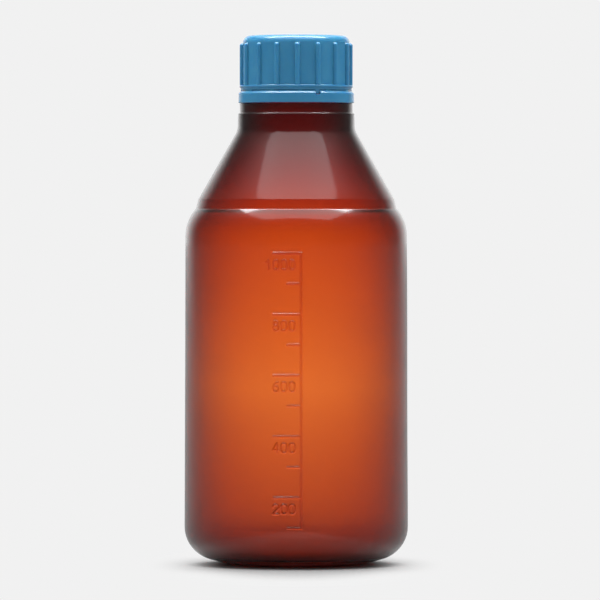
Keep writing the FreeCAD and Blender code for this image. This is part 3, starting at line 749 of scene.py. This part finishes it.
def amber_plastic():
    """Translucent amber polyethylene: a rough, hazy surface over a coloured, absorbing wall."""
    made, tree, shader = material("amber_polyethylene")
    shader.inputs["Base Color"].default_value = (1, 0.96, 0.94, 1)
    shader.inputs["Transmission Weight"].default_value = 1.0
    shader.inputs["IOR"].default_value = 1.5
    cloud = noise(tree, 60, 3)
    tree.links.new(spread(tree, cloud, 0.33, 0.39), shader.inputs["Roughness"])
    shader.inputs["Specular Tint"].default_value = (0.1, 0.1, 0.1, 1)
    shader.inputs["Coat Weight"].default_value = 1.0
    shader.inputs["Coat Roughness"].default_value = 0.12
    waves, grain = noise(tree, 45, 2, (1, 1, 0.35)), noise(tree, 900, 2)
    add_bump(tree, shader, [(waves, 0.0006, 0.25), (grain, 0.00004, 0.3)])
    absorption = tree.nodes.new("ShaderNodeVolumeAbsorption")
    absorption.inputs["Color"].default_value = (0.80, 0.47, 0.0, 1)
    absorption.inputs["Density"].default_value = 2330
    tree.links.new(absorption.outputs["Volume"], tree.nodes["Material Output"].inputs["Volume"])
    return made


def blue_plastic():
    """Satin blue polypropylene with a faint moulding texture."""
    made, tree, shader = material("blue_polypropylene")
    colour = blend_colours(tree, noise(tree, 120, 4), (0.034, 0.180, 0.325), (0.042, 0.200, 0.350))
    tree.links.new(colour, shader.inputs["Base Color"])
    tree.links.new(spread(tree, noise(tree, 300, 3), 0.12, 0.17), shader.inputs["Roughness"])
    shader.inputs["IOR"].default_value = 1.49
    shader.inputs["Subsurface Weight"].default_value = 0.8
    shader.inputs["Subsurface Radius"].default_value = (0.3, 0.6, 1.0)
    shader.inputs["Subsurface Scale"].default_value = 0.0015
    waves, grain = noise(tree, 140, 2), noise(tree, 2600, 2)
    add_bump(tree, shader, [(waves, 0.0003, 0.15), (grain, 0.00003, 0.35)])
    return made


def liner_foam():
    """White closed-cell foam, with painted shade that darkens the hollows of its cells."""
    made, tree, shader = material("white_foam")
    cells = tree.nodes.new("ShaderNodeTexVoronoi")
    cells.inputs["Scale"].default_value = 2200
    place = tree.nodes.new("ShaderNodeTexCoord")
    tree.links.new(place.outputs["Object"], cells.inputs["Vector"])
    depth = cells.outputs["Distance"]
    # Painted shade: the colour darkens where each cell's hollow sinks deepest.
    colour = blend_colours(tree, depth, (0.62, 0.62, 0.60), (0.78, 0.78, 0.76))
    tree.links.new(colour, shader.inputs["Base Color"])
    shader.inputs["Roughness"].default_value = 0.75
    add_bump(tree, shader, [(depth, 0.0001, 0.6)])
    return made


def liner_film():
    """Pale, slightly waxy sealing film."""
    made, tree, shader = material("sealing_film")
    cloud = noise(tree, 500, 3)
    colour = blend_colours(tree, cloud, (0.76, 0.75, 0.71), (0.84, 0.83, 0.79))
    tree.links.new(colour, shader.inputs["Base Color"])
    tree.links.new(spread(tree, cloud, 0.32, 0.45), shader.inputs["Roughness"])
    add_bump(tree, shader, [(cloud, 0.00005, 0.3)])
    return made


def dress(piece, finish):
    """Give a piece one material."""
    piece.data.materials.clear()
    piece.data.materials.append(finish)


amber, blue = amber_plastic(), blue_plastic()

bottle = make_bottle()
dress(bottle, amber)
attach(bottle, "bottle")
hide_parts("bottle")

cap = make_cap()
dress(cap, blue)
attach(cap, "cap")
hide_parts("cap_shell")

band = make_ring()
dress(band, blue)
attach(band, "ring")
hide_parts("tamper_ring")

for piece in (cap, band):
    piece.data.set_sharp_from_angle(angle=math.radians(38))

dress(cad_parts["tamper_bridges"], blue)
dress(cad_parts["liner_core"], liner_foam())
dress(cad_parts["liner_facing"], liner_film())


# ---------------------------------------------------------------- floor, light and camera
# Brightness of the backdrop. The camera sees BACKDROP. Gloss sees BACKDROP_SHEEN behind, the dim
# ROOM at the sides and in front, and FLOOR_SHEEN below. Light through the bottle sees BACKLIGHT
# behind, and SIDE_SHARE of it at the sides and FLOOR_SHARE of it on the floor close by.
BACKDROP = 0.88
BACKDROP_SHEEN = 0.95
ROOM = 0.05
FLOOR_SHEEN = 0.35
BACKLIGHT = 3.0
SIDE_SHARE = 0.3
FLOOR_SHARE = 0.45

# How squarely a direction has to point at the backdrop, from 0 at the side to 1 straight behind,
# for its brightness to begin and to be complete: in gloss and through the bottle.
SHEEN_RANGE = (0.62, 0.95)
LIGHT_RANGE = (0.3, 0.95)

# Floor, in metres. The patch round the bottle, lit by the lamps and with a painted shadow, is
# narrower than it is long by PATCH_NARROWING. The painted shadow's grey lightens away from the
# bottle over PAINTED_SHADOW_REACH, and the patch fades out over PATCH_FADE. Light through the
# bottle sees the floor brighten over FLOOR_RANGE.
FLOOR_RADIUS = 30
FLOOR_DEPTH = 0.0001
FLOOR_RANGE = (0.1, 3.0)
PATCH_NARROWING = 2.8
PAINTED_SHADOW_GREY = (0.20, 0.315)
PAINTED_SHADOW_REACH = (0.05, 0.17)
PATCH_FADE = (0.09, 0.19)

# What the lamps and the camera point at, where the camera stands, and the width of the view at its
# target, in metres. The width of the camera's sensor is in millimetres.
LAMP_TARGET = (0, 0, 0.15)
CAMERA_PLACE = (0.0017, -3.1, 0.16)
CAMERA_TARGET = (0.0017, 0, 0.1190)
VIEW_WIDTH = 0.270
SENSOR_WIDTH = 36


def pick(tree, share, low, high):
    """Value between low and high; each of the three is a number or an output."""
    mix = tree.nodes.new("ShaderNodeMix")
    for socket, given in (("Factor", share), ("A", low), ("B", high)):
        if isinstance(given, (int, float)):
            mix.inputs[socket].default_value = given
        else:
            tree.links.new(given, mix.inputs[socket])
    return mix.outputs["Result"]


def rise(tree, source, low, high):
    """Smooth rise from 0 to 1 as the source goes from low to high."""
    ramp = tree.nodes.new("ShaderNodeMapRange")
    ramp.interpolation_type = "SMOOTHSTEP"
    ramp.inputs["From Min"].default_value = low
    ramp.inputs["From Max"].default_value = high
    tree.links.new(source, ramp.inputs["Value"])
    return ramp.outputs["Result"]


def backdrop_level(tree, reflected, transmitted):
    """Backdrop brightness for the kind of ray that looks at it."""
    rays = tree.nodes.new("ShaderNodeLightPath")
    level = pick(tree, rays.outputs["Is Glossy Ray"], BACKDROP, reflected)
    return pick(tree, rays.outputs["Is Transmission Ray"], level, transmitted)


def make_floor():
    """Round floor with a painted shadow round the bottle, that fades into the backdrop's own
    brightness.
    """
    made, tree, shader = material("backdrop_floor")
    shader.inputs["Roughness"].default_value = 0.9
    shader.inputs["Specular IOR Level"].default_value = 0.0
    glow = tree.nodes.new("ShaderNodeEmission")
    place = tree.nodes.new("ShaderNodeTexCoord")
    narrowed = tree.nodes.new("ShaderNodeMapping")
    narrowed.inputs["Scale"].default_value = (PATCH_NARROWING, 1, 1)
    tree.links.new(place.outputs["Object"], narrowed.inputs["Vector"])
    lengths = []
    for source in (place.outputs["Object"], narrowed.outputs["Vector"]):
        length = tree.nodes.new("ShaderNodeVectorMath")
        length.operation = "LENGTH"
        tree.links.new(source, length.inputs[0])
        lengths.append(length.outputs["Value"])
    away, patch_away = lengths
    # Painted shadow: the floor's colour is darker close to the bottle, and more so along Y than
    # along X.
    painted_shadow_grey = pick(tree, rise(tree, patch_away, *PAINTED_SHADOW_REACH), *PAINTED_SHADOW_GREY)
    tree.links.new(painted_shadow_grey, shader.inputs["Base Color"])
    far = rise(tree, away, *FLOOR_RANGE)
    transmitted = pick(tree, far, BACKLIGHT * FLOOR_SHARE, BACKLIGHT)
    tree.links.new(backdrop_level(tree, FLOOR_SHEEN, transmitted), glow.inputs["Strength"])
    mix = tree.nodes.new("ShaderNodeMixShader")
    tree.links.new(rise(tree, patch_away, *PATCH_FADE), mix.inputs["Fac"])
    tree.links.new(shader.outputs["BSDF"], mix.inputs[1])
    tree.links.new(glow.outputs["Emission"], mix.inputs[2])
    tree.links.new(mix.outputs["Shader"], tree.nodes["Material Output"].inputs["Surface"])
    bpy.ops.mesh.primitive_circle_add(vertices=128, radius=FLOOR_RADIUS, fill_type="NGON")
    floor = bpy.context.object
    floor.name = "floor"
    floor.location.z = -FLOOR_DEPTH
    dress(floor, made)


def make_world():
    """Bright backdrop behind the bottle, and a dim room in front of it that only gloss shows."""
    world = bpy.data.worlds.new("studio")
    bpy.context.scene.world = world
    world.use_nodes = True
    tree = world.node_tree
    back = tree.nodes["Background"]
    back.inputs["Color"].default_value = (1, 1, 1, 1)
    place = tree.nodes.new("ShaderNodeTexCoord")
    axes = tree.nodes.new("ShaderNodeSeparateXYZ")
    tree.links.new(place.outputs["Generated"], axes.inputs["Vector"])
    behind = axes.outputs["Y"]
    reflected = pick(tree, rise(tree, behind, *SHEEN_RANGE), ROOM, BACKDROP_SHEEN)
    lit = rise(tree, behind, *LIGHT_RANGE)
    transmitted = pick(tree, lit, BACKLIGHT * SIDE_SHARE, BACKLIGHT)
    tree.links.new(backdrop_level(tree, reflected, transmitted), back.inputs["Strength"])


def facing(place, target):
    """Rotation of a lamp or a camera at place that looks at target."""
    direction = mathutils.Vector(target) - mathutils.Vector(place)
    return direction.to_track_quat("-Z", "Y").to_euler()


def add_lamp(name, place, size, power):
    """Area lamp with its (width, height) in metres and power in watts, unseen by the camera."""
    data = bpy.data.lights.new(name, "AREA")
    data.shape = "RECTANGLE"
    data.size, data.size_y = size
    data.energy = power
    lamp = bpy.data.objects.new(name, data)
    bpy.context.scene.collection.objects.link(lamp)
    lamp.location = place
    lamp.rotation_euler = facing(place, LAMP_TARGET)
    lamp.visible_camera = False


def make_camera():
    """Long lens at the height of the shoulder that looks at the object's middle."""
    data = bpy.data.cameras.new("camera")
    camera = bpy.data.objects.new("camera", data)
    bpy.context.scene.collection.objects.link(camera)
    camera.location = CAMERA_PLACE
    camera.rotation_euler = facing(CAMERA_PLACE, CAMERA_TARGET)
    data.sensor_width = SENSOR_WIDTH
    data.lens = SENSOR_WIDTH * math.dist(CAMERA_TARGET, CAMERA_PLACE) / VIEW_WIDTH
    data.clip_end = 100
    bpy.context.scene.camera = camera


make_floor()
make_world()
add_lamp("overhead_softbox", (0, 0, 1.15), (1.5, 1.7), 17)
add_lamp("overhead_strip", (0, 0.05, 1.10), (1.4, 0.35), 21)
make_camera()

scene = bpy.context.scene
scene.view_settings.view_transform = "Standard"
scene.cycles.use_denoising = True
